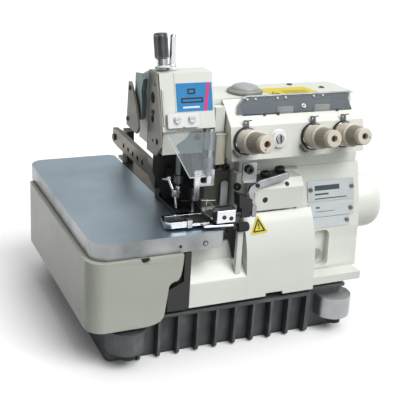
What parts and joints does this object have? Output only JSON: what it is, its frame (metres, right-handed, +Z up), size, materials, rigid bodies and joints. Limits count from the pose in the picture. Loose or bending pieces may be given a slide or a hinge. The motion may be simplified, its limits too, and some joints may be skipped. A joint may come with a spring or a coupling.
{
  "type": "serger overlock machine",
  "caption": "Industrial serger overlock sewing machine head with cloth plate, swing-open covers, tension knobs, presser foot, handwheel and ribbed oil pan.",
  "frame": {"origin": "middle of the oil pan's flat underside", "axes": "+X to the handwheel, +Y along the feed away from the operator, +Z up"},
  "size_m": [0.382, 0.2953, 0.3252],
  "materials": {
    "cream_paint": "satin enamel",
    "grey_paint": "satin enamel",
    "khaki_steel": "satin enamel",
    "pan_metal": "cast, dark grey",
    "black_rubber": "matt",
    "black_steel": "black oxide",
    "chrome": "polished",
    "satin_steel": "satin",
    "dark_steel": "brushed, dark",
    "beige_plastic": "satin",
    "clear_plastic": "clear, gloss",
    "smoke_plastic": "smoked, gloss",
    "tank_plastic": "translucent cream",
    "plate_aluminium": "satin"
  },
  "bodies": {
    "frame": {"oil_pan": "pan_metal", "pan_gasket": "black_rubber", "damper_front_left": "black_rubber", "damper_front_right": "black_rubber", "damper_rear_left": "black_rubber", "damper_rear_right": "black_rubber", "bed_casting": "cream_paint", "oil_gauge": "smoke_plastic", "arm_casting": "cream_paint", "top_cover": "cream_paint", "oil_dome": "clear_plastic", "tension_panel": "cream_paint", "tension_window": "smoke_plastic", "tension_discs_left": "black_steel", "tension_discs_middle": "black_steel", "tension_discs_right": "black_steel", "nameplate": "plate_aluminium", "data_plate": "plate_aluminium", "cover_hinge_pin": "dark_steel", "cover_latch_bracket": "black_steel", "shaft_bush_left": "dark_steel", "shaft_bush_right": "dark_steel", "head_casting": "cream_paint", "head_cover": "cream_paint", "head_side_plate": "khaki_steel", "rear_side_plate": "khaki_steel", "spring_guard": "dark_steel", "head_clamp_plate": "chrome", "pressure_screw": "chrome", "thread_post": "chrome", "needle_plate": "chrome", "back_plate": "satin_steel", "lower_knife": "dark_steel", "presser_pivot": "black_steel", "eye_guard_bracket": "chrome", "thread_lubricator": "tank_plastic", "guide_arm": "chrome", "guide_pivot_block": "black_steel"},
    "cloth_door": {"cloth_plate": "satin_steel", "side_cover": "grey_paint"},
    "front_cover": {"front_cover": "cream_paint"},
    "main_shaft": {"main_shaft": "dark_steel", "handwheel": "cream_paint"},
    "needle_bar": {"needle_bar": "dark_steel", "needle_clamp": "dark_steel"},
    "presser": {"presser_arm": "khaki_steel", "presser_foot": "black_steel"},
    "feed_dog": {"feed_dog": "dark_steel"},
    "lower_looper": {"lower_looper": "chrome"},
    "upper_looper": {"upper_looper": "chrome"},
    "upper_knife": {"upper_knife_arm": "black_steel", "upper_knife": "chrome"},
    "tension_knob_left": {"tension_knob_left": "beige_plastic"},
    "tension_knob_middle": {"tension_knob_middle": "beige_plastic"},
    "tension_knob_right": {"tension_knob_right": "beige_plastic"},
    "tension_release": {"tension_release_button": "chrome"},
    "pressure_cap": {"pressure_cap": "dark_steel"},
    "eye_guard": {"eye_guard": "clear_plastic"},
    "fabric_guide": {"fabric_guide": "chrome"},
    "guide_knob": {"guide_knob": "black_steel"}
  },
  "joints": [
    {"name": "cloth_plate_swing", "type": "hinge", "parent": "frame", "child": "cloth_door", "pos_m": [-0.0605, 0.121, 0.12], "axis": [0, 0, -1], "range_deg": [0, 75]},
    {"name": "front_cover_tilt", "type": "hinge", "parent": "frame", "child": "front_cover", "pos_m": [0.0195, -0.1285, 0.0565], "axis": [1, 0, 0], "range_deg": [0, 60]},
    {"name": "main_shaft_turn", "type": "hinge", "parent": "frame", "child": "main_shaft", "pos_m": [0.1615, -0.04, 0.115], "axis": [1, 0, 0], "continuous": true},
    {"name": "needle_bar_travel", "type": "slide", "parent": "frame", "child": "needle_bar", "axis": [0, 0, 1], "range_m": [-0.014, 0.01]},
    {"name": "presser_lift", "type": "hinge", "parent": "frame", "child": "presser", "pos_m": [-0.0575, 0.101, 0.17], "axis": [-1, 0, 0], "range_deg": [0, 3]},
    {"name": "feed_dog_travel", "type": "slide", "parent": "frame", "child": "feed_dog", "axis": [0, 1, 0], "range_m": [-0.002, 0.002]},
    {"name": "lower_looper_swing", "type": "hinge", "parent": "frame", "child": "lower_looper", "pos_m": [-0.0205, -0.035, 0.086], "axis": [0, 1, 0], "range_deg": [-14, 4]},
    {"name": "upper_looper_swing", "type": "hinge", "parent": "frame", "child": "upper_looper", "pos_m": [-0.0085, -0.055, 0.094], "axis": [0, 1, 0], "range_deg": [-12, 3]},
    {"name": "upper_knife_swing", "type": "hinge", "parent": "frame", "child": "upper_knife", "pos_m": [-0.0085, -0.059, 0.196], "axis": [1, 0, 0], "range_deg": [-6, 2]},
    {"name": "tension_knob_left_turn", "type": "hinge", "parent": "frame", "child": "tension_knob_left", "pos_m": [0.013, -0.1007, 0.2195], "axis": [0, -0.9765, 0.2154], "range_deg": [-720, 720]},
    {"name": "tension_knob_middle_turn", "type": "hinge", "parent": "frame", "child": "tension_knob_middle", "pos_m": [0.0915, -0.1007, 0.2195], "axis": [0, -0.9765, 0.2154], "range_deg": [-720, 720]},
    {"name": "tension_knob_right_turn", "type": "hinge", "parent": "frame", "child": "tension_knob_right", "pos_m": [0.129, -0.1007, 0.2195], "axis": [0, -0.9765, 0.2154], "range_deg": [-720, 720]},
    {"name": "tension_release_press", "type": "slide", "parent": "frame", "child": "tension_release", "axis": [0, 0.9765, -0.2154], "range_m": [0, 0.003], "stiffness_N_per_m": 300, "springref_m": -0.002},
    {"name": "pressure_cap_turn", "type": "hinge", "parent": "frame", "child": "pressure_cap", "pos_m": [-0.0685, -0.068, 0.2902], "axis": [0, 0.2867, 0.958], "range_deg": [-1080, 1080]},
    {"name": "eye_guard_swing", "type": "hinge", "parent": "frame", "child": "eye_guard", "pos_m": [-0.0245, -0.097, 0.21], "axis": [0, 0, 1], "range_deg": [0, 90]},
    {"name": "fabric_guide_slide", "type": "slide", "parent": "frame", "child": "fabric_guide", "axis": [1, 0, 0], "range_m": [-0.008, 0.004]},
    {"name": "guide_knob_turn", "type": "hinge", "parent": "fabric_guide", "child": "guide_knob", "pos_m": [0.0035, -0.1265, 0.1362], "axis": [1, 0, 0], "range_deg": [-360, 360]}
  ]
}
